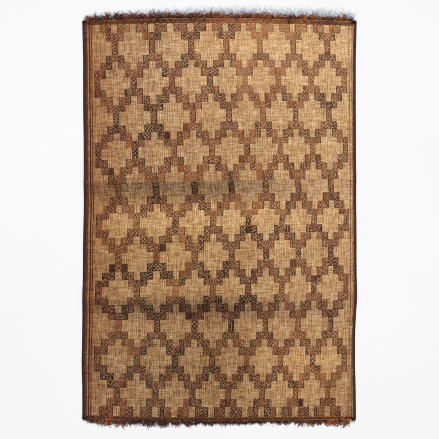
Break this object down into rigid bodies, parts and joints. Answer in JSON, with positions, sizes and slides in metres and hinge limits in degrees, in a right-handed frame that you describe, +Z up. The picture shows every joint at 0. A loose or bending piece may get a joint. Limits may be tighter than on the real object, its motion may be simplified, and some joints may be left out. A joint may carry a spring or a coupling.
{
  "type": "reed and leather mat",
  "caption": "Flat rectangular floor mat of reeds crossed by leather thongs in a stepped lattice, with leather bindings on the long sides and a short thong fringe at both ends.",
  "frame": {"origin": "middle of the mat's footprint, on the surface it lies on", "axes": "+X across the mat along the reeds, +Y along the thongs, +Z up out of the patterned side"},
  "size_m": [1.6068, 2.471, 0.0156],
  "materials": {
    "reed_and_thong_weave": "dry straw reeds crossed by worn brown leather thongs",
    "binding_leather": "dark aubergine goat leather, worn satin",
    "cord_leather": "tan leather, twined, matt",
    "fringe_leather": "dark red-brown leather thong ends, dry"
  },
  "bodies": {
    "root": {"woven_field": "reed_and_thong_weave", "binding_left": "binding_leather", "binding_right": "binding_leather", "end_cord_top": "cord_leather", "end_cord_bottom": "cord_leather", "fringe_top": "fringe_leather", "fringe_bottom": "fringe_leather"}
  },
  "joints": []
}
